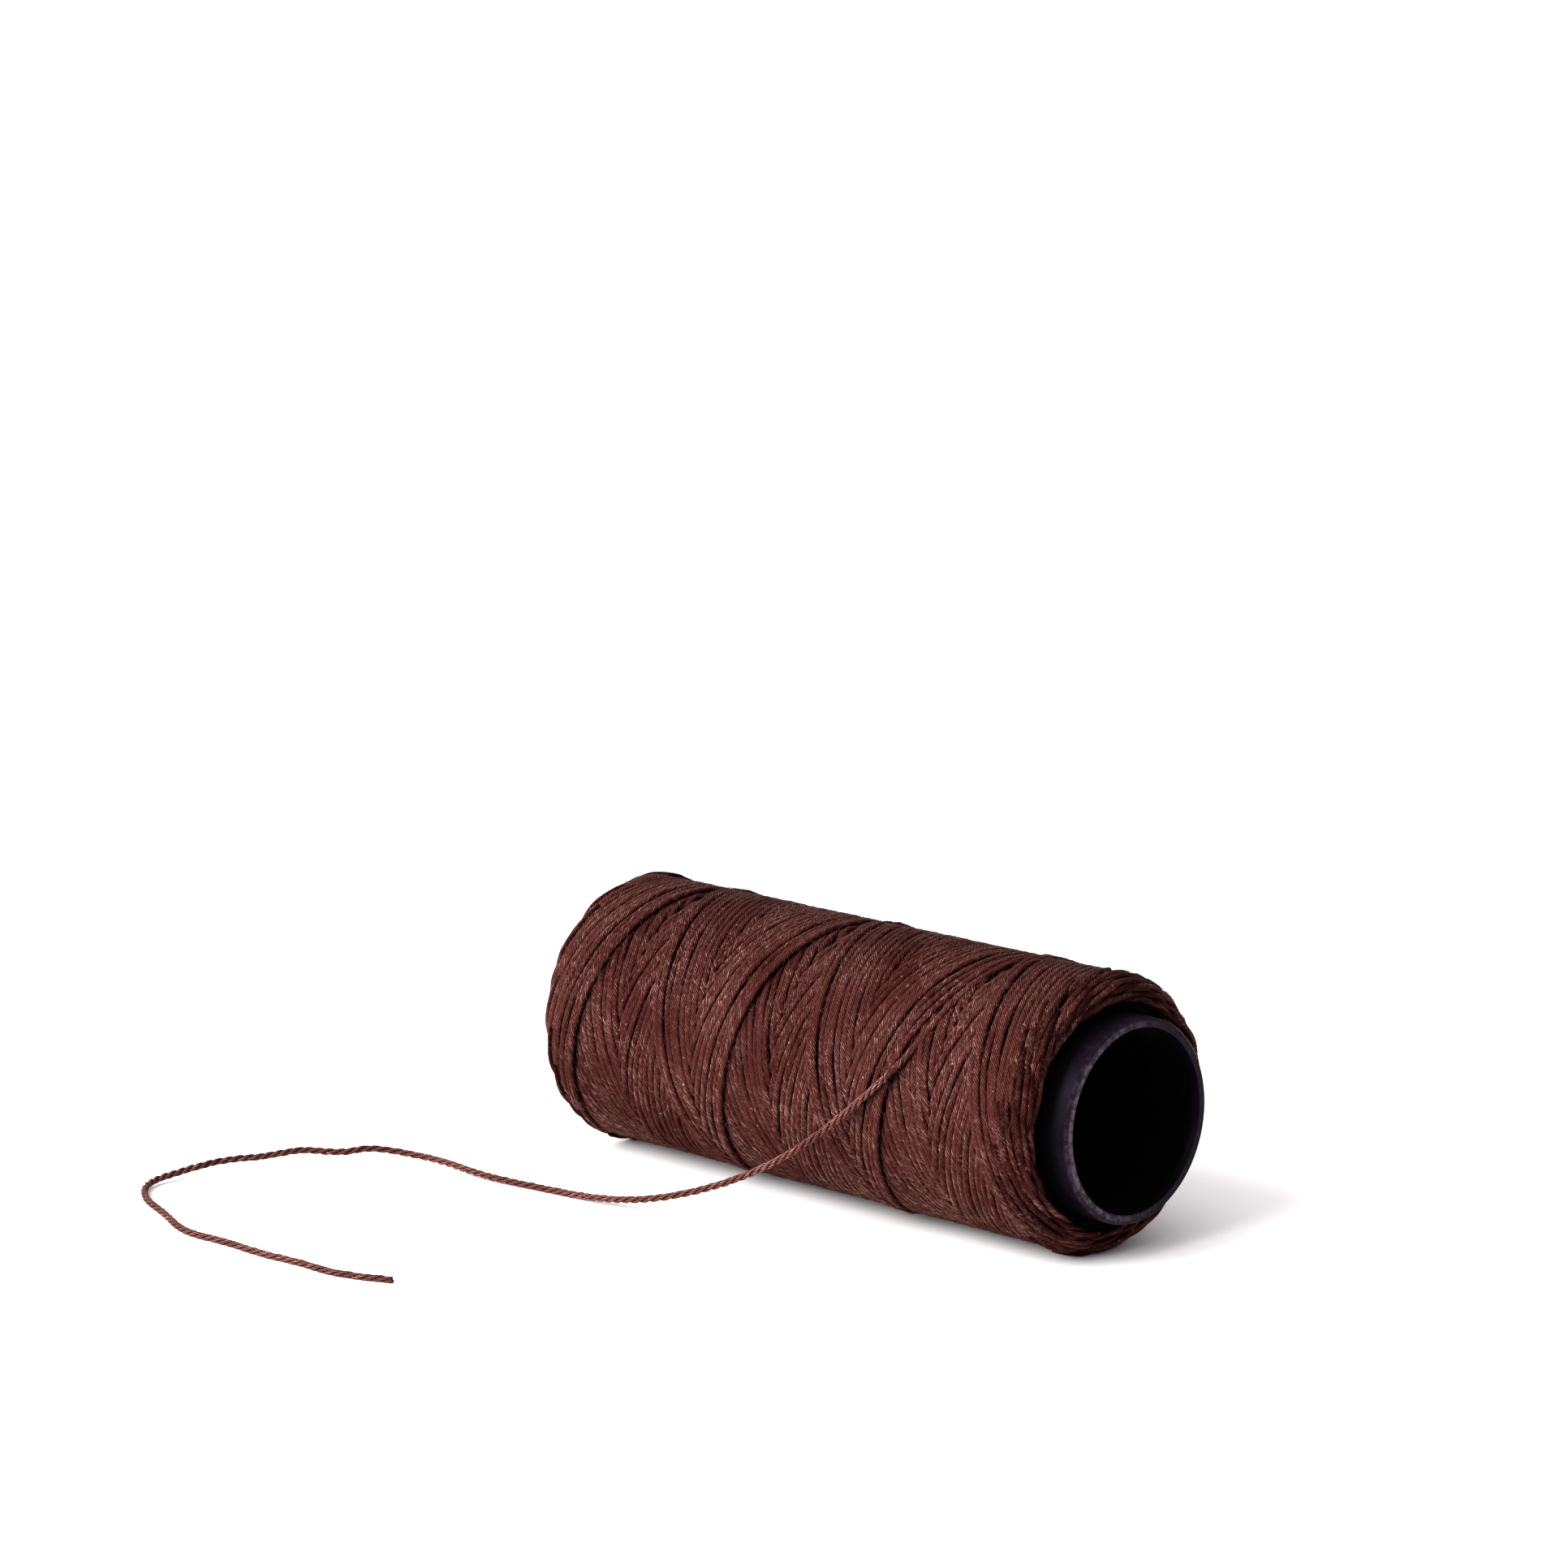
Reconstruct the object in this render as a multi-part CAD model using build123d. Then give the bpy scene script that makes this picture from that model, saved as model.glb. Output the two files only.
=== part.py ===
from build123d import *
# Waxed thread spool: a hollow moulded core, its cross-wound thread package and the thread's free end.
#
# Units are millimetres. The spool lies on its side with its axis along X, resting on z = 0, and the
# origin is on that surface below the middle of the core. The near end is at +X.
import math
import os

os.makedirs("parts", exist_ok=True)

# ---- driving dimensions ------------------------------------------------------------------------

THREAD_DIAMETER = 0.9

PACKAGE_RADIUS = 20.0            # wound thread, at its widest
REST_FLAT_DEPTH = 0.12           # how far the winding gives where it lies on a surface
NEAR_PROTRUSION = 4.0            # core standing out of the winding at +X
FAR_PROTRUSION = 1.5             # and at -X
NEAR_SHOULDER = (4.8, 4.1)       # rounding of the winding's end: along the axis, and inwards
FAR_SHOULDER = (3.4, 3.0)
END_VALLEY_DEPTH = 1.8           # the winding sinks this far towards the core at its ends

CORE_LENGTH = 101.0
COLLAR_RADIUS = 14.5             # the smooth ring at each end of the core
COLLAR_LENGTH = 8.0
RIM_EDGE = 0.35                  # small chamfer round the rim's outer edge
MOUTH_RADIUS = 13.1              # bore at the rim face, which narrows to the bore radius
MOUTH_DEPTH = 3.0
BORE_RADIUS = 12.25              # what a spindle goes through
CAGE_RADIUS = 13.8               # outside of the ribbed cage between the collars
RIB_COUNT = 8
RIB_WIDTH = 2.0
HOOP_COUNT = 7
HOOP_WIDTH = 1.6
WINDING_CLEARANCE = 0.05         # between the core and the inside of the winding

# ---- places worked out from them ---------------------------------------------------------------

AXIS_HEIGHT = PACKAGE_RADIUS - REST_FLAT_DEPTH
CORE_END = CORE_LENGTH / 2
WINDING_NEAR = CORE_END - NEAR_PROTRUSION
WINDING_FAR = -CORE_END + FAR_PROTRUSION
CAGE_END = CORE_END - COLLAR_LENGTH
TAIL_REST = THREAD_DIAMETER / 2  # height of the thread's centre when it lies on the surface

# The free end leaves the winding on its -Y side, comes down to the surface, runs past the far end,
# turns back in a loop and ends bare. These are the corners of its route.
TAIL_ROUTE = [
    (22.0, -20.1, 24.6),
    (15.5, -21.4, 18.5),
    (8.0, -23.0, 12.3),
    (0.5, -25.2, 7.6),
    (-7.5, -28.0, 4.1),
    (-16.0, -30.5, 1.7),
    (-25.0, -31.9, 0.6),
    (-35.2, -32.9, TAIL_REST),
    (-45.4, -34.5, 0.7),
    (-53.6, -34.3, 1.1),
    (-60.4, -36.2, 1.5),
    (-64.6, -39.2, 2.1),
    (-66.8, -43.2, 1.5),
    (-71.4, -46.4, 1.9),
    (-73.2, -52.0, 1.4),
    (-76.0, -57.6, 1.5),
    (-76.4, -64.8, 1.2),
    (-76.5, -71.8, 0.6),
    (-70.4, -76.8, TAIL_REST),
    (-62.4, -79.7, TAIL_REST),
    (-53.2, -83.9, TAIL_REST),
    (-44.6, -82.9, TAIL_REST),
    (-36.4, -83.6, TAIL_REST),
    (-28.8, -82.6, TAIL_REST),
    (-21.0, -82.9, TAIL_REST),
    (-13.8, -79.4, TAIL_REST),
]


def placed(shape):
    """Lift a shape that was made about the X axis to where the spool's axis lies."""
    return Pos(0, 0, AXIS_HEIGHT) * shape


def ring(start, end, inner, outer):
    """A plain ring about the X axis, from x = start to x = end."""
    profile = Polyline((start, inner), (start, outer), (end, outer), (end, inner), close=True)
    return revolve(make_face(profile), axis=Axis.X)


def collar(side):
    """The solid ring at one end of the core, with a narrow lip and a mouth that narrows to the bore."""
    end = side * CORE_END
    inward = -side
    profile = Polyline(
        (end, MOUTH_RADIUS),
        (end, COLLAR_RADIUS - RIM_EDGE),
        (end + inward * RIM_EDGE, COLLAR_RADIUS),
        (end + inward * COLLAR_LENGTH, COLLAR_RADIUS),
        (end + inward * COLLAR_LENGTH, BORE_RADIUS),
        (end + inward * MOUTH_DEPTH, BORE_RADIUS),
        close=True,
    )
    return revolve(make_face(profile), axis=Axis.X)


def cage_ribs():
    """The ribs that run from collar to collar, as slices of the cage's wall."""
    wall = ring(-CAGE_END, CAGE_END, BORE_RADIUS, CAGE_RADIUS)
    slabs = Part()
    for index in range(RIB_COUNT // 2):
        slab = Box(2 * CAGE_END, 2 * CAGE_RADIUS + 2, RIB_WIDTH)
        slabs += Rot(index * 360 / RIB_COUNT, 0, 0) * slab
    return wall & slabs


def cage_hoops():
    """The hoops that tie the ribs together, spaced evenly between the collars."""
    spacing = 2 * CAGE_END / (HOOP_COUNT + 1)
    hoops = []
    for index in range(HOOP_COUNT):
        middle = -CAGE_END + spacing * (index + 1)
        hoops.append(ring(middle - HOOP_WIDTH / 2, middle + HOOP_WIDTH / 2, BORE_RADIUS, CAGE_RADIUS))
    return hoops


def moulded_core():
    """One moulding: two collars joined by a cage of ribs and hoops, open right through."""
    core = collar(1) + collar(-1) + cage_ribs()
    for hoop in cage_hoops():
        core += hoop
    return placed(core)


def shoulder(end, size, side):
    """A quarter ellipse that rounds the winding's outside down to its end face."""
    along, inwards = size
    centre = (end - side * along, PACKAGE_RADIUS - inwards)
    start = 0 if side > 0 else 90
    return EllipticalCenterArc(centre, along, inwards, start_angle=start, arc_size=90)


def thread_package():
    """The wound thread as one plain solid, round the core and clear of it."""
    near = shoulder(WINDING_NEAR, NEAR_SHOULDER, 1)
    far = shoulder(WINDING_FAR, FAR_SHOULDER, -1)
    collar_bore = COLLAR_RADIUS + WINDING_CLEARANCE
    cage_bore = CAGE_RADIUS + WINDING_CLEARANCE
    cage_end = CAGE_END - WINDING_CLEARANCE
    outside = Line(near @ 1, far @ 0)
    inside = Polyline(
        (WINDING_NEAR, PACKAGE_RADIUS - NEAR_SHOULDER[1]),
        (WINDING_NEAR - END_VALLEY_DEPTH, collar_bore),
        (cage_end, collar_bore),
        (cage_end, cage_bore),
        (-cage_end, cage_bore),
        (-cage_end, collar_bore),
        (WINDING_FAR + END_VALLEY_DEPTH, collar_bore),
        (WINDING_FAR, PACKAGE_RADIUS - FAR_SHOULDER[1]),
    )
    winding = placed(revolve(make_face(near + inside + far + outside), axis=Axis.X))
    below = Pos(0, 0, -PACKAGE_RADIUS) * Box(2 * CORE_LENGTH, 4 * PACKAGE_RADIUS, 2 * PACKAGE_RADIUS)
    return winding - below


def tail_radii():
    """The bend radius at each corner of the route: as large as the two runs beside it allow."""
    corners = [Vector(point) for point in TAIL_ROUTE]
    radii = []
    for before, here, after in zip(corners, corners[1:], corners[2:]):
        arriving = here - before
        leaving = after - here
        turn = math.radians(arriving.get_angle(leaving))
        radii.append(0.45 * min(arriving.length, leaving.length) / math.tan(turn / 2))
    return radii


def thread_tail():
    """The free end of the thread: straight runs joined by tangent arcs, round in section."""
    radii = tail_radii()
    print("tail bend radii, mm:", [round(radius, 1) for radius in radii])
    route = FilletPolyline(*TAIL_ROUTE, radius=radii)
    section = Plane(origin=route @ 0, z_dir=route % 0) * Circle(THREAD_DIAMETER / 2)
    tube = sweep(section, path=route)
    plain_volume = math.pi * THREAD_DIAMETER ** 2 / 4 * route.length
    print("tail length, mm:", round(route.length, 1))
    print("tail volume over a plain tube's:", round(tube.volume / plain_volume, 4))
    return tube


export_step(moulded_core(), "parts/moulded_core.step")
export_step(thread_package(), "parts/thread_package.step")
export_step(thread_tail(), "parts/thread_tail.step")
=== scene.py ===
import math

import bpy
import numpy as np
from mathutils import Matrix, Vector


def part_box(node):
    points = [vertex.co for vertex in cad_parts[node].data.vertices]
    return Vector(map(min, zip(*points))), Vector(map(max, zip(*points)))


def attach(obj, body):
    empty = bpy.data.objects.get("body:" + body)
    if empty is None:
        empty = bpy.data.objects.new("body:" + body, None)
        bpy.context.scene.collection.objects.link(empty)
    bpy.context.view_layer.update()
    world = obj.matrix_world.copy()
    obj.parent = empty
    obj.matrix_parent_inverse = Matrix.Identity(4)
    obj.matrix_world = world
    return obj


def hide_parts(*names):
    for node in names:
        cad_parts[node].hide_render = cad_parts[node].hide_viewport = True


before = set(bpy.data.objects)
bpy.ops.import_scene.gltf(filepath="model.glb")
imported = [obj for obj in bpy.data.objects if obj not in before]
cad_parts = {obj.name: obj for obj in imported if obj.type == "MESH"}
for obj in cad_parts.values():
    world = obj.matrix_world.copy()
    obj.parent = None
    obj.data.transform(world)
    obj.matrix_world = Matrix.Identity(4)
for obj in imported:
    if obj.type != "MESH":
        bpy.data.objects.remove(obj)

MM = 0.001
RNG = np.random.default_rng(27)
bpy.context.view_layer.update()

# ---- sizes taken from the frame ----------------------------------------------------------------

package_low, package_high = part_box("thread_package")
core_low, core_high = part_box("moulded_core")
PACKAGE_RADIUS = (package_high.y - package_low.y) / 2
AXIS_HEIGHT = package_high.z - PACKAGE_RADIUS
COLLAR_RADIUS = (core_high.y - core_low.y) / 2
CORE_END = core_high.x

# The rounding of the winding's two ends: along the axis, and inwards.
NEAR_SHOULDER = (4.8 * MM, 4.1 * MM)
FAR_SHOULDER = (3.4 * MM, 3.0 * MM)
END_VALLEY_DEPTH = 1.8 * MM          # the winding sinks this far towards the core at its ends

# ---- the thread --------------------------------------------------------------------------------

WOUND_WIDTH = 1.16 * MM              # wound thread is pressed a little flat
WOUND_HEIGHT = 0.92 * MM
TWIST_PITCH = 4.8 * MM               # one turn of the three plies
LAYER_SPACING = 0.62 * MM            # one strand lies this far over the strand it crosses
THIN_LAYER_STEP = 0.55               # share of it that an unfinished layer lies lower by

# ---- the winding -------------------------------------------------------------------------------

# Precision cross winding. Going back in time from the free end, the thread runs to and fro between
# the ends, and after each double stroke it lies one strand further on.
LEAD = 31.0 * MM                     # along the axis in one turn
STRANDS_PER_LEAD = 28
STRAND_PITCH = LEAD / STRANDS_PER_LEAD
ADVANCE = 2 * math.pi / STRANDS_PER_LEAD
STROKE_ANGLE = (2 * math.pi * 6 + ADVANCE) / 2
RISE = LEAD / (2 * math.pi)          # along the axis in one radian
NEAR_APEX = 45.5 * MM                # where straight strokes would meet
FAR_APEX = NEAR_APEX - RISE * STROKE_ANGLE
NEAR_APEX_ANGLE = math.radians(277.3)
REVERSAL_ROUNDING = 0.13             # radians over which a stroke turns back
SAMPLE_STEP = 0.3 * MM
SHORTEST_RUN = 8                     # a seen stretch with fewer samples than this is left out

# How far strands stray from that rule.
EARLY_NEAR = 2.0 * MM                # a stroke turns back up to this early at the near end
EARLY_FAR = 0.5 * MM
SIDEWAYS_ERROR = 0.17 * MM           # for a whole strand
SIDEWAYS_WANDER = 0.12 * MM          # and along it
SUNK_ERROR = 0.10 * MM
SUNK_WANDER = 0.05 * MM
PULLED_ASIDE = 1.7 * MM              # by the free end, on the newest strands
PUSHED_ASIDE = 0.9 * MM              # by the newest strands, on the oldest ones

# ---- the free end: the corners of its route, as in the CAD tube --------------------------------

TAIL_REST = 0.45 * MM
TAIL_ROUTE = [
    (22.0 * MM, -20.1 * MM, 24.6 * MM),
    (15.5 * MM, -21.4 * MM, 18.5 * MM),
    (8.0 * MM, -23.0 * MM, 12.3 * MM),
    (0.5 * MM, -25.2 * MM, 7.6 * MM),
    (-7.5 * MM, -28.0 * MM, 4.1 * MM),
    (-16.0 * MM, -30.5 * MM, 1.7 * MM),
    (-25.0 * MM, -31.9 * MM, 0.6 * MM),
    (-35.2 * MM, -32.9 * MM, TAIL_REST),
    (-45.4 * MM, -34.5 * MM, 0.7 * MM),
    (-53.6 * MM, -34.3 * MM, 1.1 * MM),
    (-60.4 * MM, -36.2 * MM, 1.5 * MM),
    (-64.6 * MM, -39.2 * MM, 2.1 * MM),
    (-66.8 * MM, -43.2 * MM, 1.5 * MM),
    (-71.4 * MM, -46.4 * MM, 1.9 * MM),
    (-73.2 * MM, -52.0 * MM, 1.4 * MM),
    (-76.0 * MM, -57.6 * MM, 1.5 * MM),
    (-76.4 * MM, -64.8 * MM, 1.2 * MM),
    (-76.5 * MM, -71.8 * MM, 0.6 * MM),
    (-70.4 * MM, -76.8 * MM, TAIL_REST),
    (-62.4 * MM, -79.7 * MM, TAIL_REST),
    (-53.2 * MM, -83.9 * MM, TAIL_REST),
    (-44.6 * MM, -82.9 * MM, TAIL_REST),
    (-36.4 * MM, -83.6 * MM, TAIL_REST),
    (-28.8 * MM, -82.6 * MM, TAIL_REST),
    (-21.0 * MM, -82.9 * MM, TAIL_REST),
    (-13.8 * MM, -79.4 * MM, TAIL_REST),
]


# ---- node helpers ------------------------------------------------------------------------------

class Nodes:
    """A material's node tree, with short ways to add the nodes used here."""

    def __init__(self, name):
        self.material = bpy.data.materials.new(name)
        self.material.use_nodes = True
        self.tree = self.material.node_tree
        self.tree.nodes.clear()
        output = self.add("ShaderNodeOutputMaterial")
        self.shader = self.add("ShaderNodeBsdfPrincipled")
        self.link(self.shader.outputs["BSDF"], output.inputs["Surface"])

    def add(self, kind, **settings):
        node = self.tree.nodes.new(kind)
        for key, value in settings.items():
            setattr(node, key, value)
        return node

    def link(self, source, target):
        self.tree.links.new(source, target)

    def attribute(self, name, output="Fac"):
        return self.add("ShaderNodeAttribute", attribute_name=name).outputs[output]

    def position(self):
        return self.add("ShaderNodeTexCoord").outputs["Object"]

    def scaled(self, vector, scale):
        node = self.add("ShaderNodeMapping")
        self.link(vector, node.inputs["Vector"])
        node.inputs["Scale"].default_value = scale
        return node.outputs["Vector"]

    def noise(self, vector, scale, detail=3.0, roughness=0.55):
        node = self.add("ShaderNodeTexNoise")
        self.link(vector, node.inputs["Vector"])
        node.inputs["Scale"].default_value = scale
        node.inputs["Detail"].default_value = detail
        node.inputs["Roughness"].default_value = roughness
        return node.outputs["Fac"]

    def remap(self, value, low, high, to_low=0.0, to_high=1.0):
        node = self.add("ShaderNodeMapRange", interpolation_type="SMOOTHSTEP")
        self.link(value, node.inputs["Value"])
        node.inputs["From Min"].default_value = low
        node.inputs["From Max"].default_value = high
        node.inputs["To Min"].default_value = to_low
        node.inputs["To Max"].default_value = to_high
        return node.outputs["Result"]

    def maths(self, operation, first, second=None):
        node = self.add("ShaderNodeMath", operation=operation)
        for socket, value in zip(node.inputs, (first, second)):
            if value is None:
                continue
            if isinstance(value, (int, float)):
                socket.default_value = value
            else:
                self.link(value, socket)
        return node.outputs[0]

    def mix(self, factor, first, second, blend="MIX"):
        node = self.add("ShaderNodeMix", data_type="RGBA", blend_type=blend)
        # The node has A, B and Result sockets for each data type, and these are the colour ones.
        pairs = ((node.inputs["Factor"], factor), (node.inputs[6], first), (node.inputs[7], second))
        for socket, value in pairs:
            if isinstance(value, (int, float)):
                socket.default_value = value
            elif isinstance(value, tuple):
                socket.default_value = (*value, 1.0)
            else:
                self.link(value, socket)
        return node.outputs[2]

    def bump(self, height, distance, strength=1.0):
        node = self.add("ShaderNodeBump")
        node.inputs["Distance"].default_value = distance
        node.inputs["Strength"].default_value = strength
        self.link(height, node.inputs["Height"])
        self.link(node.outputs["Normal"], self.shader.inputs["Normal"])

    def set(self, **values):
        for name, value in values.items():
            self.shader.inputs[name.replace("_", " ")].default_value = value


# ---- materials ---------------------------------------------------------------------------------

THREAD_DARK = (0.060, 0.0105, 0.0075)
THREAD_MID = (0.101, 0.0345, 0.0280)
THREAD_PALE = (0.520, 0.345, 0.305)
FUZZ = (0.230, 0.130, 0.112)
LOOSE_DARK = (0.115, 0.041, 0.032)
LOOSE_MID = (0.200, 0.092, 0.076)


def thread_material(name, dark, middle):
    """Twisted brown fibre with a wax coat. lay is (along, across, across) in the twisting thread."""
    m = Nodes(name)
    lay = m.attribute("lay", "Vector")
    place = m.position()
    painted_crest_light = m.attribute("painted_crest_light")

    # Broad patches, and a shade of its own for each strand.
    patches = m.remap(m.noise(place, 95.0), 0.35, 0.68)
    strand_shade = m.maths("MULTIPLY", m.attribute("tone"), 0.45)
    tone = m.maths("ADD", m.maths("MULTIPLY", patches, 0.55), strand_shade)
    colour = m.mix(tone, dark, middle)

    # Pale fibres along the crests, with a painted sheen where they face out in the open, more of them
    # where the wax has bloomed, and a few specks.
    fibres = m.noise(m.scaled(lay, (900.0, 2400.0, 2400.0)), 1.0, detail=4.0, roughness=0.65)
    bloom = m.remap(m.noise(place, 110.0), 0.36, 0.62, 0.25, 1.0)
    specks = m.remap(m.noise(place, 1500.0, detail=1.0), 0.72, 0.77, 0.0, 0.55)
    fibres_and_painted_sheen = m.maths("MULTIPLY", m.remap(fibres, 0.46, 0.70), m.remap(painted_crest_light, 0.35, 1.0))
    fibres_and_painted_sheen = m.maths("MULTIPLY", m.maths("MULTIPLY", fibres_and_painted_sheen, 0.92), bloom)
    colour = m.mix(m.maths("MAXIMUM", fibres_and_painted_sheen, specks), colour, THREAD_PALE)

    # Painted shade darkens the grooves, the sides that face in and the stretches under newer strands,
    # and a thin fuzz lies over crests and grooves alike.
    groove_shade = m.remap(painted_crest_light, 0.0, 0.6, 0.07, 1.0)
    colour = m.mix(1.0, colour, groove_shade, blend="MULTIPLY")
    fuzz = m.noise(place, 2200.0, detail=4.0, roughness=0.75)
    fuzz_cover = m.maths("MULTIPLY", m.remap(fuzz, 0.48, 0.66, 0.0, 0.27), bloom)
    colour = m.mix(fuzz_cover, colour, FUZZ)
    m.link(colour, m.shader.inputs["Base Color"])
    m.link(m.remap(fibres, 0.3, 0.7, 0.42, 0.62), m.shader.inputs["Roughness"])
    m.set(Sheen_Weight=0.02, Sheen_Roughness=0.45, Sheen_Tint=(0.75, 0.50, 0.44, 1.0))
    m.set(Specular_IOR_Level=0.05)
    m.bump(fibres, 0.08 * MM, 0.9)
    return m.material


def painted_shade_underlayer_material():
    """The older layers seen down the gaps between strands: the same thread, painted near black as the
    shade in the gaps.
    """
    m = Nodes("thread_underlayer")
    strands = m.noise(m.scaled(m.position(), (900.0, 60.0, 60.0)), 1.0, detail=2.0)
    m.link(m.mix(strands, (0.004, 0.0012, 0.001), (0.012, 0.0036, 0.003)), m.shader.inputs["Base Color"])
    m.link(m.remap(strands, 0.3, 0.7, 0.7, 0.9), m.shader.inputs["Roughness"])
    m.set(Specular_IOR_Level=0.05)
    m.bump(strands, 0.2 * MM)
    return m.material


def core_material():
    """Black moulded plastic: fine lines, scuffs and a painted highlight on the lip. It is dull, with
    painted shade near black, in the bore and towards the winding.
    """
    m = Nodes("core_plastic")
    place = m.position()

    # How far a place is from the axis, and how far in from the nearer end.
    parts = m.add("ShaderNodeSeparateXYZ")
    m.link(place, parts.inputs[0])
    height = m.maths("SUBTRACT", parts.outputs["Z"], AXIS_HEIGHT)
    across = m.maths("MULTIPLY", parts.outputs["Y"], parts.outputs["Y"])
    radius = m.maths("SQRT", m.maths("ADD", across, m.maths("MULTIPLY", height, height)))
    end_gap = m.maths("SUBTRACT", CORE_END, m.maths("ABSOLUTE", parts.outputs["X"]))

    # The lip is a ring on the end face. It carries a painted highlight, paler on the side that faces the
    # free end and the key light, and broken up by scuffs.
    scuffs = m.noise(place, 900.0, detail=5.0, roughness=0.7)
    lip = m.remap(end_gap, 0.1 * MM, 0.6 * MM, 1.0, 0.0)
    inner_edge = m.remap(radius, COLLAR_RADIUS - 1.5 * MM, COLLAR_RADIUS - 1.2 * MM)
    outer_edge = m.remap(radius, COLLAR_RADIUS - 0.75 * MM, COLLAR_RADIUS - 0.3 * MM, 1.0, 0.25)
    lip = m.maths("MULTIPLY", m.maths("MULTIPLY", lip, inner_edge), outer_edge)
    painted_highlight_and_scuffs = m.remap(parts.outputs["Y"], -0.9 * COLLAR_RADIUS, 0.5 * COLLAR_RADIUS, 1.0, 0.12)
    painted_highlight_and_scuffs = m.maths("MULTIPLY", painted_highlight_and_scuffs, m.remap(scuffs, 0.44, 0.60, 0.3, 1.3))

    lines = m.noise(m.scaled(place, (60.0, 1500.0, 1500.0)), 1.0, detail=4.0)
    clouds = m.remap(m.noise(place, 160.0), 0.3, 0.7)
    colour = m.mix(clouds, (0.0038, 0.0019, 0.0052), (0.0085, 0.0048, 0.0120))
    colour = m.mix(m.remap(lines, 0.58, 0.75, 0.0, 0.4), colour, (0.030, 0.021, 0.034))
    colour = m.mix(m.maths("MULTIPLY", lip, painted_highlight_and_scuffs), colour, (0.120, 0.090, 0.120))
    # Painted shade: the collar turns near black towards the winding, in the deep valley beside it.
    painted_valley_shade = m.remap(end_gap, 1.3 * MM, 3.0 * MM)
    colour = m.mix(painted_valley_shade, colour, (0.0012, 0.0008, 0.0012))
    # Painted shade: near black inside the bore.
    painted_bore_shade = m.remap(radius, COLLAR_RADIUS - 1.8 * MM, COLLAR_RADIUS - 1.45 * MM, 1.0, 0.0)
    colour = m.mix(painted_bore_shade, colour, (0.0010, 0.0007, 0.0010))
    m.link(colour, m.shader.inputs["Base Color"])
    satin = m.remap(scuffs, 0.3, 0.7, 0.36, 0.58)
    dull = m.maths("MULTIPLY", m.maths("MAXIMUM", painted_bore_shade, painted_valley_shade), 0.95)
    m.link(m.maths("MAXIMUM", satin, dull), m.shader.inputs["Roughness"])
    m.set(Specular_IOR_Level=0.12)
    m.bump(lines, 0.05 * MM, 0.6)
    return m.material


def floor_material():
    """Plain white paper."""
    m = Nodes("white_floor")
    clouds = m.noise(m.position(), 4.0)
    m.link(m.mix(clouds, (0.90, 0.895, 0.90), (0.93, 0.925, 0.93)), m.shader.inputs["Base Color"])
    m.set(Roughness=0.8, Specular_IOR_Level=0.1)
    return m.material


# ---- ropes: twisted threads as closed tubes ----------------------------------------------------

YARN_COUNT = 9                       # ridges round a wound thread: three plies of three yarns
WOUND_SECTION = np.array((1.0, 0.80) * YARN_COUNT)
BAKE_ROWS = 28                       # rows that a piece's tubes are laid out in on its colour map
BAKE_ROW_FILL = 0.84                 # share of a row's height that the tubes take up
BAKE_ROW_GAP = 0.08                  # share of it left free on either side
TUBE_ATTRIBUTES = (
    ("painted_crest_light", "FLOAT", "value"),
    ("tone", "FLOAT", "value"),
    ("lay", "FLOAT_VECTOR", "vector"),
)


def unit(vectors):
    return vectors / np.linalg.norm(vectors, axis=1, keepdims=True)


def distance_along(points):
    steps = np.linalg.norm(np.diff(points, axis=0), axis=1)
    return np.concatenate([[0.0], np.cumsum(steps)])


def squared_off(share):
    """Fills out a round section a little, as threads pressed against each other are."""
    return np.sign(share) * np.abs(share) ** 0.8


def twisted_tube(points, outward, section, width, height, pitch, phase=0.0, tone=0.5):
    """A tube whose section turns as it runs. outward points away from what the tube lies on.

    Its crest value is 1 on the ridges that face out, and 0 in the grooves and on the side that faces in:
    painted light and painted shade for the colour. lay is a place in the thread's own material: along
    it, and across it both ways.
    """
    count = len(section)
    along = distance_along(points)
    tangent = unit(np.gradient(points, axis=0))
    up = unit(outward - (outward * tangent).sum(1, keepdims=True) * tangent)
    side = np.cross(tangent, up)
    local = 2 * math.pi * np.arange(count) / count
    turned = local[None, :] + (phase + 2 * math.pi * along / pitch)[:, None]
    rise = section * squared_off(np.sin(turned)) * height / 2
    spread = section * squared_off(np.cos(turned)) * width / 2
    vertices = points[:, None] + side[:, None] * spread[..., None] + up[:, None] * rise[..., None]
    ridge = (section - section.min()) / max(np.ptp(section), 1e-9)
    # Painted shade: the side that faces in, where the thread rests on what is below it, gets a low crest
    # value and a darker colour.
    facing_out = np.clip((np.sin(turned) + 0.55) / 0.95, 0.0, 1.0)
    lay = np.empty((len(points), count, 3))
    lay[..., 0] = along[:, None]
    lay[..., 1] = np.cos(local) * width / 2
    lay[..., 2] = np.sin(local) * width / 2
    return {
        "vertices": vertices,
        "painted_crest_light": ridge * facing_out,
        "lay": lay,
        "tone": np.full((len(points), count), tone),
    }


def tube_faces(first_ring, rings, sides):
    """The corners of a tube's faces, one face a row, in the order that makes them face out."""
    spoke = np.arange(sides)
    following = (spoke + 1) % sides
    here = (first_ring + np.arange(rings - 1))[:, None] * sides
    ahead = here + sides
    quads = np.stack([here + spoke, ahead + spoke, ahead + following, here + following], axis=2)
    return quads.reshape(-1, 4)


def tube_map_boxes(first_ring, rings, sides, rings_per_row):
    """The box that each of those faces has on the colour map, where tubes run along the rows."""
    spoke = np.arange(sides)
    ring = first_ring + np.arange(rings - 1)[:, None]
    row = np.floor(ring / rings_per_row)
    left = ring / rings_per_row - row
    right = left + 1 / rings_per_row
    low = (row + BAKE_ROW_GAP + BAKE_ROW_FILL * spoke / sides) / BAKE_ROWS
    high = low + BAKE_ROW_FILL / sides / BAKE_ROWS
    left, right, low, high = np.broadcast_arrays(left, right, low, high)
    boxes = np.stack([left, low, right, low, right, high, left, high], axis=2)
    return boxes.reshape(-1, 8)


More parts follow.
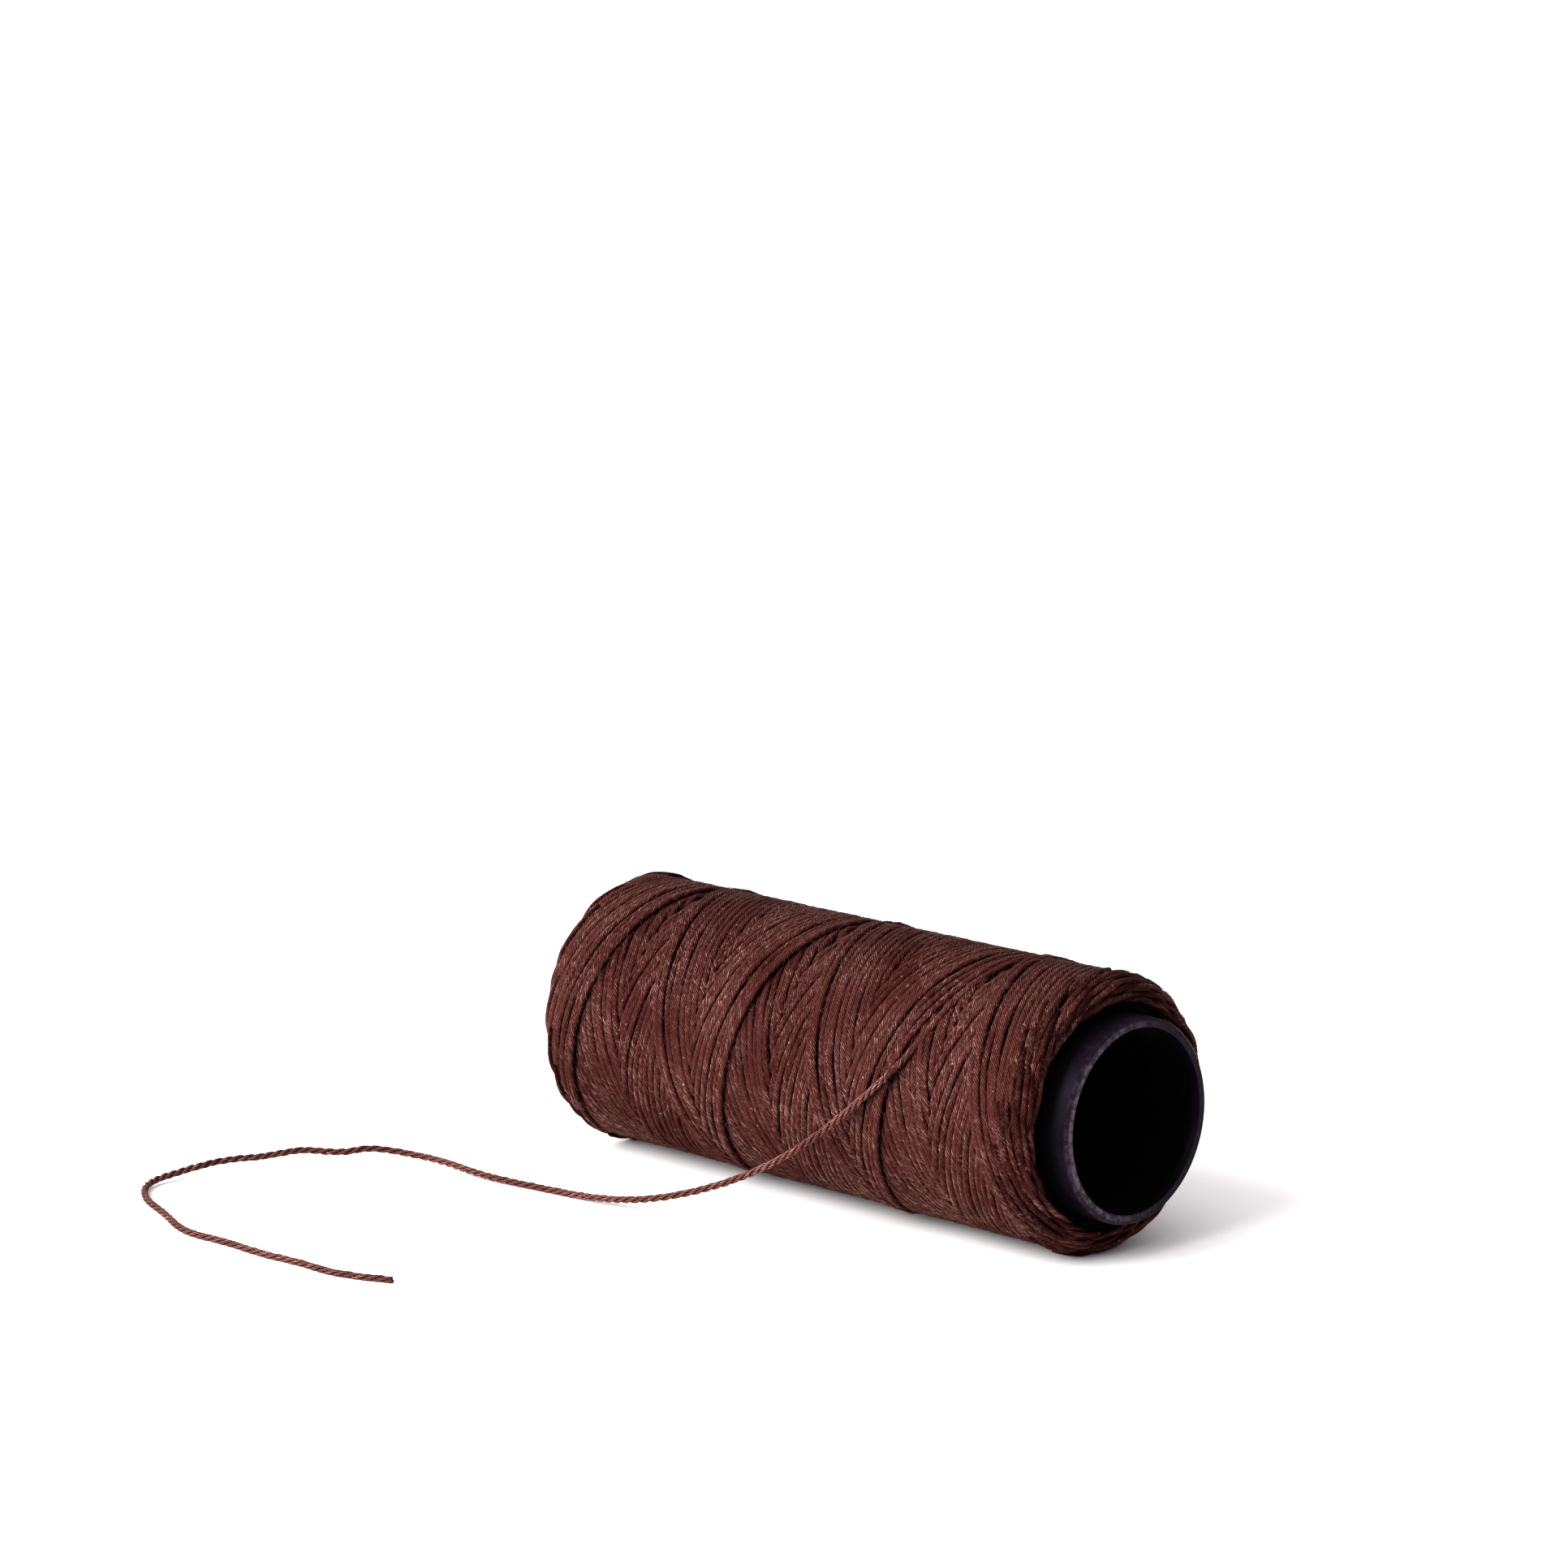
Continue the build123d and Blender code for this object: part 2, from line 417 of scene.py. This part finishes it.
def tube_piece(name, tubes, material):
    """One mesh object from several tubes with the same number of sides, each closed by two caps."""
    sides = tubes[0]["vertices"].shape[1]
    rings_per_row = sum(len(tube["vertices"]) for tube in tubes) / BAKE_ROWS
    spoke = np.arange(sides)
    faces = []
    boxes = []
    caps = []
    cap_places = []
    first_ring = 0
    for tube in tubes:
        rings = len(tube["vertices"])
        faces.append(tube_faces(first_ring, rings, sides))
        boxes.append(tube_map_boxes(first_ring, rings, sides, rings_per_row))
        for cap_ring, order in ((first_ring, spoke), (first_ring + rings - 1, spoke[::-1])):
            caps.append(cap_ring * sides + order)
            row = math.floor(cap_ring / rings_per_row)
            cap_places.append((cap_ring / rings_per_row - row, (row + 0.5) / BAKE_ROWS))
        first_ring += rings
    quads = np.concatenate(faces)
    vertices = np.concatenate([tube["vertices"].reshape(-1, 3) for tube in tubes])
    vertices[:, 2] = np.maximum(vertices[:, 2], 0.0)
    corners = np.concatenate([quads.ravel(), np.concatenate(caps)])
    cap_starts = quads.size + sides * np.arange(len(caps))
    starts = np.concatenate([4 * np.arange(len(quads)), cap_starts])

    mesh = bpy.data.meshes.new(name)
    mesh.vertices.add(len(vertices))
    mesh.vertices.foreach_set("co", vertices.astype(np.float32).ravel())
    mesh.loops.add(len(corners))
    mesh.loops.foreach_set("vertex_index", corners.astype(np.int32))
    mesh.polygons.add(len(starts))
    mesh.polygons.foreach_set("loop_start", starts.astype(np.int32))
    mesh.update(calc_edges=True)
    mesh.shade_smooth()
    layer = mesh.uv_layers.new(name="OFBake")
    cap_uv = np.repeat(np.array(cap_places), sides, axis=0)
    uv = np.concatenate([np.concatenate(boxes).reshape(-1, 2), cap_uv])
    layer.data.foreach_set("uv", uv.astype(np.float32).ravel())
    for key, kind, field in TUBE_ATTRIBUTES:
        values = np.concatenate([tube[key].ravel() for tube in tubes])
        attribute = mesh.attributes.new(key, kind, "POINT")
        attribute.data.foreach_set(field, values.astype(np.float32))
    return placed_piece(name, mesh, material)


def placed_piece(name, mesh, material):
    """An object in the scene that shows this mesh in this material."""
    mesh.materials.append(material)
    piece = bpy.data.objects.new(name, mesh)
    bpy.context.scene.collection.objects.link(piece)
    return piece


# ---- the winding's shape -----------------------------------------------------------------------

def shoulder_drop(past, size):
    """How far the surface has dropped, and its outward slope, this far past where a shoulder starts."""
    along, inwards = size
    share = np.clip(past / along, 0.0, 0.985)
    root = np.sqrt(1 - share ** 2)
    return inwards * (1 - root), inwards / along * share / root


def winding_surface(x):
    """The winding's radius at x, and the axial and radial parts of the direction out of its surface."""
    near_drop, near_slope = shoulder_drop(x - (package_high.x - NEAR_SHOULDER[0]), NEAR_SHOULDER)
    far_drop, far_slope = shoulder_drop((package_low.x + FAR_SHOULDER[0]) - x, FAR_SHOULDER)
    slope = near_slope - far_slope
    length = np.sqrt(1 + slope ** 2)
    return PACKAGE_RADIUS - near_drop - far_drop, slope / length, 1 / length


def around_axis(x, radius, angle):
    """Points at a place along the axis, a radius and an angle round it."""
    height = AXIS_HEIGHT + radius * np.sin(angle)
    return np.stack([x, -radius * np.cos(angle), height], axis=1)


def radial_direction(angle):
    return np.stack([np.zeros_like(angle), -np.cos(angle), np.sin(angle)], axis=1)


def smoothed(values, window):
    """A moving average, done twice so that steps become smooth ramps."""
    kernel = np.ones(window) / window
    for _ in range(2):
        padded = np.pad(values, window // 2, mode="edge")
        values = np.convolve(padded, kernel, mode="valid")[: len(values)]
    return values


def wander(along, size):
    """A slow drift along a strand, of about this size: three waves that start anywhere."""
    drift = np.zeros_like(along)
    for wavelength in (13 * MM, 29 * MM, 61 * MM):
        drift += np.sin(2 * math.pi * along / wavelength + RNG.uniform(0, 2 * math.pi))
    return drift * size / 2


def stroke_place(turn):
    """Where along the axis the thread is, this angle from its reversal at the near end."""
    from_near = np.sqrt(turn ** 2 + REVERSAL_ROUNDING ** 2)
    from_far = np.sqrt((STROKE_ANGLE - np.abs(turn)) ** 2 + REVERSAL_ROUNDING ** 2)
    nearer = np.abs(turn) < STROKE_ANGLE / 2
    return np.where(nearer, NEAR_APEX - RISE * from_near, FAR_APEX + RISE * from_far)


def last_strand_pull(angle, index):
    """How far the free end's pull has slid the newest strands along, near where it leaves."""
    lift_angle = math.radians(14)
    pulled_angle = math.radians(92)
    pulled_strands = 7
    share = np.clip((angle - lift_angle) / pulled_angle, 0, 1)
    bulge = np.sin(math.pi * share ** 0.8) ** 1.4
    return PULLED_ASIDE * bulge * max(0.0, 1 - index / pulled_strands) ** 1.3


def oldest_strand_shift(index):
    """The oldest strands lie pushed a little away from the newest, which leaves a groove between."""
    pushed_strands = 4
    youngest = STRANDS_PER_LEAD - 1 - pushed_strands
    return PUSHED_ASIDE * max(0.0, (index - youngest) / pushed_strands)


def hidden_and_thin(index, turn, angle, x):
    """Where newer strands cover this one, and where the layer that crosses it isn't full yet."""
    # The ages, in strands, of the newest back and forward strokes that cross here.
    from_apex = angle - NEAR_APEX_ANGLE
    back_age = np.mod(x - (NEAR_APEX - RISE * from_apex), LEAD) / STRAND_PITCH
    forward_age = np.mod((NEAR_APEX + RISE * from_apex) - x, LEAD) / STRAND_PITCH
    forward = turn < 0
    newer_by = np.where(forward, back_age + 0.5 - index, forward_age - 0.5 - index)

    # At a reversal a strand meets its own other stroke.
    to_far = STROKE_ANGLE - np.abs(turn)
    newer_by = np.where(np.abs(turn) < ADVANCE / 2, turn, newer_by)
    newer_by = np.where(to_far < ADVANCE / 2, np.where(forward, to_far, -to_far), newer_by)
    covered = (newer_by < 0).astype(float)

    # Between a forward stroke's edge and the next back stroke's edge, the top layer isn't full.
    crossing_age = np.where(forward, back_age, forward_age)
    thin_layer = (crossing_age + index > STRANDS_PER_LEAD).astype(float)
    return covered, thin_layer


def shifted_along(index, turn, along):
    """How far along the axis a strand lies from where the winding rule puts it."""
    to_far = STROKE_ANGLE - np.abs(turn)
    forward = turn < 0
    early_near = RNG.uniform(0, EARLY_NEAR) * np.exp(-(turn / 0.4) ** 2)
    early_far = RNG.uniform(0, EARLY_FAR) * np.exp(-(to_far / 0.5) ** 2)
    sideways = RNG.uniform(-SIDEWAYS_ERROR, SIDEWAYS_ERROR) + wander(along, SIDEWAYS_WANDER)
    first_turn_forward = forward & (turn > -math.radians(290))
    pull = np.where(first_turn_forward, last_strand_pull(NEAR_APEX_ANGLE + turn, index), 0.0)
    aside = np.where(forward, 1.0, -0.5) * oldest_strand_shift(index) * smoothed(to_far > 0.6, 9)
    aside = aside * smoothed(np.abs(turn) > 0.6, 9)
    return sideways + pull + aside - early_near + early_far


def wound_strand(index):
    """One double stroke of the top layer, cut where newer strands hide it. 0 is the newest.

    Before its near reversal (turn > 0) it is a back stroke, and after it (turn < 0) a forward one.
    The last value is 1 in the open and less where newer strands close over it: painted shade under them.
    """
    step = SAMPLE_STEP / math.hypot(PACKAGE_RADIUS, RISE)
    first_turn = lift_off_angle() - NEAR_APEX_ANGLE if index == 0 else -STROKE_ANGLE
    turn = np.arange(first_turn, STROKE_ANGLE, step)
    angle = NEAR_APEX_ANGLE + ADVANCE * index + turn
    x = stroke_place(turn)

    covered, thin_layer = hidden_and_thin(index, turn, angle, x)
    level = smoothed(covered + THIN_LAYER_STEP * thin_layer, 5)
    nearly_covered = smoothed(covered, 9)

    along = turn * math.hypot(PACKAGE_RADIUS, RISE)
    x = x + shifted_along(index, turn, along)
    surface, axial, radial = winding_surface(x)
    sunk = level * LAYER_SPACING + RNG.uniform(0, SUNK_ERROR) + wander(along, SUNK_WANDER)
    x = x - axial * WOUND_HEIGHT / 2
    radius = surface - radial * WOUND_HEIGHT / 2 - sunk
    points = around_axis(x, radius, angle)
    if index == 0:
        points = join_to_tail(points, turn)
    seen = nearly_covered < 0.93
    painted_light_level = 1 - 0.8 * nearly_covered
    return points, radial_direction(angle), seen, turn < 0, painted_light_level


def lift_off_angle():
    """The angle round the axis at which the free end leaves the winding."""
    _, y, z = TAIL_ROUTE[0]
    return math.atan2(z - AXIS_HEIGHT, -y)


def join_to_tail(points, turn):
    """Lifts the newest strand's last stretch off the winding, so that it runs into the free end."""
    joined = points.copy()
    start = np.array(TAIL_ROUTE[0])
    towards = unit((np.array(TAIL_ROUTE[1]) - start)[None])[0]
    stretch = turn - turn[0]
    count = int(np.searchsorted(stretch, math.radians(16)))
    leaving = points[count]
    heading = unit((points[count - 1] - points[count])[None])[0]
    reach = np.linalg.norm(start - leaving) / 3
    controls = (start, start - towards * reach, leaving + heading * reach, leaving)
    t = np.linspace(0, 1, count + 1)[:, None]
    weights = ((1 - t) ** 3, 3 * t * (1 - t) ** 2, 3 * t ** 2 * (1 - t), t ** 3)
    joined[: count + 1] = sum(weight * control for weight, control in zip(weights, controls))
    return joined


def runs(flags):
    """The (first, after last) of each stretch of true flags."""
    edges = np.flatnonzero(np.diff(np.concatenate([[False], flags, [False]]).astype(int)))
    return list(zip(edges[::2], edges[1::2]))


def wrap_tubes(index):
    """A strand's seen stretches as tubes: those of its forward stroke, and those of its back stroke."""
    points, outward, seen, forward, painted_light_level = wound_strand(index)
    tone = RNG.uniform(0, 1)
    phase = RNG.uniform(0, 2 * math.pi)
    made = {True: [], False: []}
    for first, after in runs(seen):
        if after - first < SHORTEST_RUN:
            continue
        part = slice(first, after)
        tube = twisted_tube(
            points[part], outward[part], WOUND_SECTION, WOUND_WIDTH, WOUND_HEIGHT, TWIST_PITCH,
            phase, tone
        )
        # Painted shade where newer strands close over the strand.
        tube["painted_crest_light"] = tube["painted_crest_light"] * painted_light_level[part, None]
        made[bool(forward[first:after].mean() > 0.5)].append(tube)
    return made


def end_profile(side):
    """The winding's end as (x, radius) points, from the top layer's reversal in to the collar."""
    end = package_high.x if side > 0 else package_low.x
    along, inwards = NEAR_SHOULDER if side > 0 else FAR_SHOULDER
    slack = 0.45 * MM
    theta = np.linspace(math.asin(0.30), math.pi / 2, 40)
    x = end - side * along * (1 - np.sin(theta))
    radius = PACKAGE_RADIUS - inwards * (1 - np.cos(theta))
    valley = np.linspace(0, 1, 20)[1:]
    valley_x = end - side * END_VALLEY_DEPTH * valley
    bottom = COLLAR_RADIUS + slack
    valley_radius = radius[-1] + (bottom - radius[-1]) * valley
    return np.concatenate([x, valley_x]), np.concatenate([radius, valley_radius])


END_ROW_SPACING = 1.08 * MM
OPEN_VALLEY = 2.1 * MM               # the innermost stretch of an end, where no reversals show
NEAR_FULLNESS = 0.60 * MM            # the near end's reversals stand this far out of its profile
FAR_FULLNESS = -0.15 * MM
FIRST_ROW_SUNK = 0.08 * MM           # and the first ones lie under the top layer's strands


def end_row_tubes(side):
    """The reversals of older layers, which show as rows of overlapping arcs on an end of the winding."""
    profile_x, profile_radius = end_profile(side)
    profile = np.stack([profile_x, profile_radius, np.zeros_like(profile_x)], axis=1)
    length = distance_along(profile)
    row_count = int((length[-1] - OPEN_VALLEY) / END_ROW_SPACING)
    half_arc = math.radians(20)
    whole_fullness = NEAR_FULLNESS if side > 0 else FAR_FULLNESS
    tubes = []
    for row in range(1, row_count + 1):
        place = row * END_ROW_SPACING
        fullness = np.interp(row, (1, 4), (-FIRST_ROW_SUNK, whole_fullness))
        apex_x = np.interp(place, length, profile_x) - side * (WOUND_HEIGHT * 0.4 - fullness / 2)
        apex_radius = np.interp(place, length, profile_radius) + fullness
        step = SAMPLE_STEP / apex_radius
        turn = np.arange(-half_arc, half_arc, step)
        drop = RISE * (np.sqrt(turn ** 2 + REVERSAL_ROUNDING ** 2) - REVERSAL_ROUNDING)
        rise = 1.1 * LAYER_SPACING * (1 / (1 + np.exp(-turn / math.radians(2.6))) - 0.5)
        start = RNG.uniform(0, ADVANCE)
        for arc in range(STRANDS_PER_LEAD):
            angle = start + ADVANCE * (arc + RNG.uniform(-0.3, 0.3)) + turn
            x = apex_x - side * (drop + RNG.uniform(-0.25, 0.35) * MM)
            radius = apex_radius + rise + RNG.uniform(-0.25, 0.15) * MM
            points = around_axis(x, radius, angle)
            outward = radial_direction(angle) + np.array([side * 0.8, 0, 0])
            tube = twisted_tube(
                points, outward, WOUND_SECTION, WOUND_WIDTH * 0.74, WOUND_HEIGHT * 0.85, TWIST_PITCH,
                RNG.uniform(0, 2 * math.pi), RNG.uniform(0, 1)
            )
            # A random tone for each arc, and painted shade that darkens it towards its ends.
            tone_and_painted_shade = RNG.uniform(0.45, 1.5) * np.clip(1.25 - np.abs(turn) / half_arc, 0, 1)
            tube["painted_crest_light"] = tube["painted_crest_light"] * tone_and_painted_shade[:, None]
            tubes.append(tube)
    return tubes


def lathe(name, profile, segments, material):
    """A closed ring: a closed outline of (x, radius) points turned about the spool's axis."""
    outline = np.array(profile)
    angle = np.linspace(0, 2 * math.pi, segments, endpoint=False)
    count = len(outline)
    vertices = np.concatenate(
        [around_axis(outline[:, 0], outline[:, 1], np.full(count, turned)) for turned in angle]
    )
    vertices[:, 2] = np.maximum(vertices[:, 2], 0.0)
    faces = []
    for segment in range(segments):
        here = segment * count
        ahead = ((segment + 1) % segments) * count
        for corner in range(count):
            following = (corner + 1) % count
            faces.append((here + corner, here + following, ahead + following, ahead + corner))
    mesh = bpy.data.meshes.new(name)
    mesh.from_pydata(vertices.tolist(), [], faces)
    mesh.update()
    mesh.shade_smooth()
    return placed_piece(name, mesh, material)


def underlayers(material):
    """The body of older thread under the strands that show, a little inside them all round."""
    inset = WOUND_HEIGHT / 2 + LAYER_SPACING + 0.15 * MM
    inner = COLLAR_RADIUS + 0.08 * MM
    outline = []
    for side in (1, -1):
        x, radius = end_profile(side)
        shell = [(px - side * inset, pr - inset * 0.95) for px, pr in zip(x[::6], radius[::6])]
        shell = [(px, max(pr, inner + 0.05 * MM)) for px, pr in shell]
        start = (x[0] - side * 3.2 * MM, PACKAGE_RADIUS - inset)
        foot = (shell[-1][0], inner)
        ordered = [start, *shell, foot]
        outline.extend(ordered if side > 0 else ordered[::-1])
    return lathe("thread_underlayers", outline, 160, material)


WRAP_PIECES = 7                      # pieces that each family of strokes is divided into
NEAR_OUTER_ROWS = 3                  # rows of the near end's turns that its outer piece holds


def build_winding(material, under_material):
    """Every piece that stands for the wound thread."""
    families = {True: [], False: []}
    for index in range(STRANDS_PER_LEAD):
        made = wrap_tubes(index)
        for family, tubes in made.items():
            families[family].append(tubes)
    pieces = [underlayers(under_material)]
    for family, word in ((True, "forward"), (False, "back")):
        per_piece = STRANDS_PER_LEAD // WRAP_PIECES
        for number in range(WRAP_PIECES):
            chosen = families[family][number * per_piece: (number + 1) * per_piece]
            tubes = [tube for strand in chosen for tube in strand]
            pieces.append(tube_piece(f"{word}_wraps_{number + 1}", tubes, material))
    near_rows = end_row_tubes(1)
    far_rows = end_row_tubes(-1)
    outer_count = NEAR_OUTER_ROWS * STRANDS_PER_LEAD
    pieces.append(tube_piece("near_end_outer_turns", near_rows[:outer_count], material))
    pieces.append(tube_piece("near_end_inner_turns", near_rows[outer_count:], material))
    pieces.append(tube_piece("far_end_turns", far_rows, material))
    for piece in pieces:
        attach(piece, "root")
        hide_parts("thread_package")
    strands = [tube for family in families.values() for strand in family for tube in strand]
    return strands + near_rows + far_rows


# ---- fibre ends standing off the thread --------------------------------------------------------

HAIR_COUNT = 12000
HAIR_SIDES = 3
HAIR_WIDTH = 0.042 * MM
HAIR_STEPS = 5
HAIR_PIECES = 2
MAP_STEP = 0.8 * MM                  # size of a cell in the map of the winding's real surface
MAP_ROWS = int((package_high.x - package_low.x) / MAP_STEP) + 1
MAP_COLUMNS = int(2 * math.pi * PACKAGE_RADIUS / MAP_STEP)


def hair_material():
    """Single fibres: paler than the thread, because light comes through them."""
    m = Nodes("loose_fibres")
    shade = m.noise(m.position(), 700.0)
    m.link(m.mix(shade, (0.060, 0.020, 0.016), (0.190, 0.090, 0.078)), m.shader.inputs["Base Color"])
    m.link(m.remap(shade, 0.3, 0.7, 0.5, 0.7), m.shader.inputs["Roughness"])
    m.set(Specular_IOR_Level=0.2)
    return m.material


def map_cell(x, angle):
    """The cell of the surface map that a place on the winding falls in."""
    row = np.clip((x - package_low.x) / MAP_STEP, 0, MAP_ROWS - 1).astype(int)
    turns = np.mod(angle, 2 * math.pi) / (2 * math.pi)
    column = np.floor(turns * MAP_COLUMNS).astype(int) % MAP_COLUMNS
    return row, column


def surface_map(tubes):
    """How far out the strands reach in each cell of the winding's surface."""
    reach = np.full((MAP_ROWS, MAP_COLUMNS), COLLAR_RADIUS)
    for tube in tubes:
        x, y, z = tube["vertices"].reshape(-1, 3).T
        row, column = map_cell(x, np.arctan2(z - AXIS_HEIGHT, -y))
        np.maximum.at(reach, (row, column), np.hypot(y, z - AXIS_HEIGHT))
    return reach


def hair_tube(reach):
    """One loose fibre, lying along the strands at a slant and standing slightly off them."""
    place = RNG.uniform(package_low.x + 1.0 * MM, package_high.x - 1.2 * MM)
    start = RNG.uniform(0, 2 * math.pi)
    length = RNG.uniform(0.6, 2.2) * MM
    slant = RNG.choice((-1, 1)) * math.atan(RISE / PACKAGE_RADIUS) + RNG.normal(0, 0.5)
    heading = slant + RNG.normal(0, 0.35) * np.linspace(0, 1, HAIR_STEPS)
    x = place + np.cumsum(np.sin(heading)) * length / HAIR_STEPS
    angle = start + np.cumsum(np.cos(heading)) * length / HAIR_STEPS / PACKAGE_RADIUS
    stand_off = RNG.uniform(-0.05, 0.12) * MM * np.linspace(-0.3, 1, HAIR_STEPS)
    radius = smoothed(reach[map_cell(x, angle)], 3) + stand_off
    points = around_axis(x, radius, angle)
    section = np.ones(HAIR_SIDES)
    return twisted_tube(points, radial_direction(angle), section, HAIR_WIDTH, HAIR_WIDTH, 1.0)


def build_hairs(strands):
    """The fuzz over the winding."""
    reach = surface_map(strands)
    material = hair_material()
    for number in range(HAIR_PIECES):
        hairs = [hair_tube(reach) for _ in range(HAIR_COUNT // HAIR_PIECES)]
        piece = tube_piece(f"loose_fibres_{number + 1}", hairs, material)
        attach(piece, "root")
        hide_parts("thread_package")


# ---- the free end ------------------------------------------------------------------------------

PLY_COUNT = 3
PLY_DIAMETER = 0.50 * MM
LOOSE_DIAMETER = 1.04 * MM           # over the plies, where nothing presses them
PLY_SECTION_TAIL = np.array((1.0, 0.84) * 5)
PLY_TWIST_PITCH = -2.6 * MM          # each ply is twisted the other way
LOOSE_TWIST_PITCH = 4.8 * MM         # and one turn of them


def route_points():
    """Points read from the route's own smooth curve."""
    curve = bpy.data.curves.new("tail_route", "CURVE")
    curve.dimensions = "3D"
    spline = curve.splines.new("NURBS")
    spline.points.add(len(TAIL_ROUTE) - 1)
    for point, corner in zip(spline.points, TAIL_ROUTE):
        point.co = (*corner, 1.0)
    spline.order_u = 3
    spline.use_endpoint_u = True
    spline.resolution_u = 36
    guide = bpy.data.objects.new("tail_route", curve)
    mesh = bpy.data.meshes.new_from_object(guide)
    points = np.array([vertex.co for vertex in mesh.vertices])
    bpy.data.meshes.remove(mesh)
    bpy.data.objects.remove(guide)
    bpy.data.curves.remove(curve)
    return points


def build_tail(material):
    """The free end: three plies twisted round each other along the route."""
    path = route_points()
    along = distance_along(path)
    knots = 1 + np.stack([wander(along / 5, 0.09) for _ in range(PLY_COUNT)])
    tangent = unit(np.gradient(path, axis=0))
    upward = np.array([0.0, 0.0, 1.0])
    up = unit(upward - (tangent @ upward)[:, None] * tangent)
    side = np.cross(tangent, up)
    offset = (LOOSE_DIAMETER - PLY_DIAMETER) / 2
    sway = side * wander(along / 2, 0.14 * MM)[:, None]
    uneven_twist = wander(along / 2, 0.12)
    tubes = []
    for ply in range(PLY_COUNT):
        turned = 2 * math.pi * (along / LOOSE_TWIST_PITCH + ply / PLY_COUNT + uneven_twist)
        outward = side * np.cos(turned)[:, None] + up * np.sin(turned)[:, None]
        centre = path + sway + outward * offset * knots[ply][:, None]
        tubes.append(
            twisted_tube(
                centre, outward, PLY_SECTION_TAIL, PLY_DIAMETER, PLY_DIAMETER, PLY_TWIST_PITCH,
                tone=0.55 + 0.2 * ply
            )
        )
    piece = tube_piece("thread_free_end", tubes, material)
    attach(piece, "root")
    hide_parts("thread_tail")


# ---- stage, light and camera -------------------------------------------------------------------

def build_floor():
    half = 9.0
    mesh = bpy.data.meshes.new("floor")
    corners = [(-half, -half, 0), (half, -half, 0), (half, half, 0), (-half, half, 0)]
    mesh.from_pydata(corners, [], [(0, 1, 2, 3)])
    floor = placed_piece("floor", mesh, floor_material())


def sun(name, place, aim, angle, strength):
    light = bpy.data.lights.new(name, "SUN")
    light.angle = angle
    light.energy = strength
    lamp = bpy.data.objects.new(name, light)
    lamp.location = place
    lamp.rotation_mode = "QUATERNION"
    lamp.rotation_quaternion = (Vector(aim) - Vector(place)).to_track_quat("-Z", "Y")
    bpy.context.scene.collection.objects.link(lamp)


SURROUND_BRIGHTEST = 1.35
SURROUND_DIMMEST = 0.45
SURROUND_AS_SEEN = 1.1               # an even white where the camera looks straight at it
KEY_STRENGTH = 3.7
KEY_ANGLE = 0.9                      # radians across, which makes its shadows soft


def build_light():
    """A soft key from the free end's side, and a surround that is dimmer beyond the near end."""
    world = bpy.data.worlds.new("studio")
    world.use_nodes = True
    nodes = world.node_tree.nodes
    link = world.node_tree.links.new
    direction = nodes.new("ShaderNodeTexCoord")
    towards_shade = nodes.new("ShaderNodeVectorMath")
    towards_shade.operation = "DOT_PRODUCT"
    towards_shade.inputs[1].default_value = (0.6, 0.75, 0.25)
    link(direction.outputs["Generated"], towards_shade.inputs[0])
    dimming = nodes.new("ShaderNodeMapRange")
    dimming.inputs["From Min"].default_value = -0.8
    dimming.inputs["From Max"].default_value = 0.9
    dimming.inputs["To Min"].default_value = SURROUND_BRIGHTEST
    dimming.inputs["To Max"].default_value = SURROUND_DIMMEST
    link(towards_shade.outputs["Value"], dimming.inputs["Value"])
    background = nodes["Background"]
    background.inputs["Color"].default_value = (1.0, 0.97, 0.98, 1.0)
    seen_plain = nodes.new("ShaderNodeMix")
    seen_plain.inputs["B"].default_value = SURROUND_AS_SEEN
    link(nodes.new("ShaderNodeLightPath").outputs["Is Camera Ray"], seen_plain.inputs["Factor"])
    link(dimming.outputs["Result"], seen_plain.inputs["A"])
    link(seen_plain.outputs["Result"], background.inputs["Strength"])
    bpy.context.scene.world = world
    sun("key", (-0.25, -1.0, 0.55), (0.0, 0.0, 0.0), KEY_ANGLE, KEY_STRENGTH)


def build_camera():
    data = bpy.data.cameras.new("camera")
    data.sensor_width = 36.0
    data.lens = 130.96
    data.clip_start = 0.05
    data.clip_end = 50.0
    camera = bpy.data.objects.new("camera", data)
    camera.location = (0.55151, -0.57057, 0.21686)
    camera.rotation_mode = "QUATERNION"
    camera.rotation_quaternion = Vector((-0.69292, 0.69444, -0.19396)).to_track_quat("-Z", "Y")
    bpy.context.scene.collection.objects.link(camera)
    bpy.context.scene.camera = camera


# ---- the whole scene ---------------------------------------------------------------------------

build_camera()
build_light()
build_floor()
build_tail(thread_material("loose_waxed_thread", LOOSE_DARK, LOOSE_MID))
wound_material = thread_material("waxed_thread", THREAD_DARK, THREAD_MID)
build_hairs(build_winding(wound_material, painted_shade_underlayer_material()))
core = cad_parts["moulded_core"]
core.data.materials[0] = core_material()
bpy.context.scene.view_settings.view_transform = "Standard"
bpy.context.scene.view_settings.look = "High Contrast"
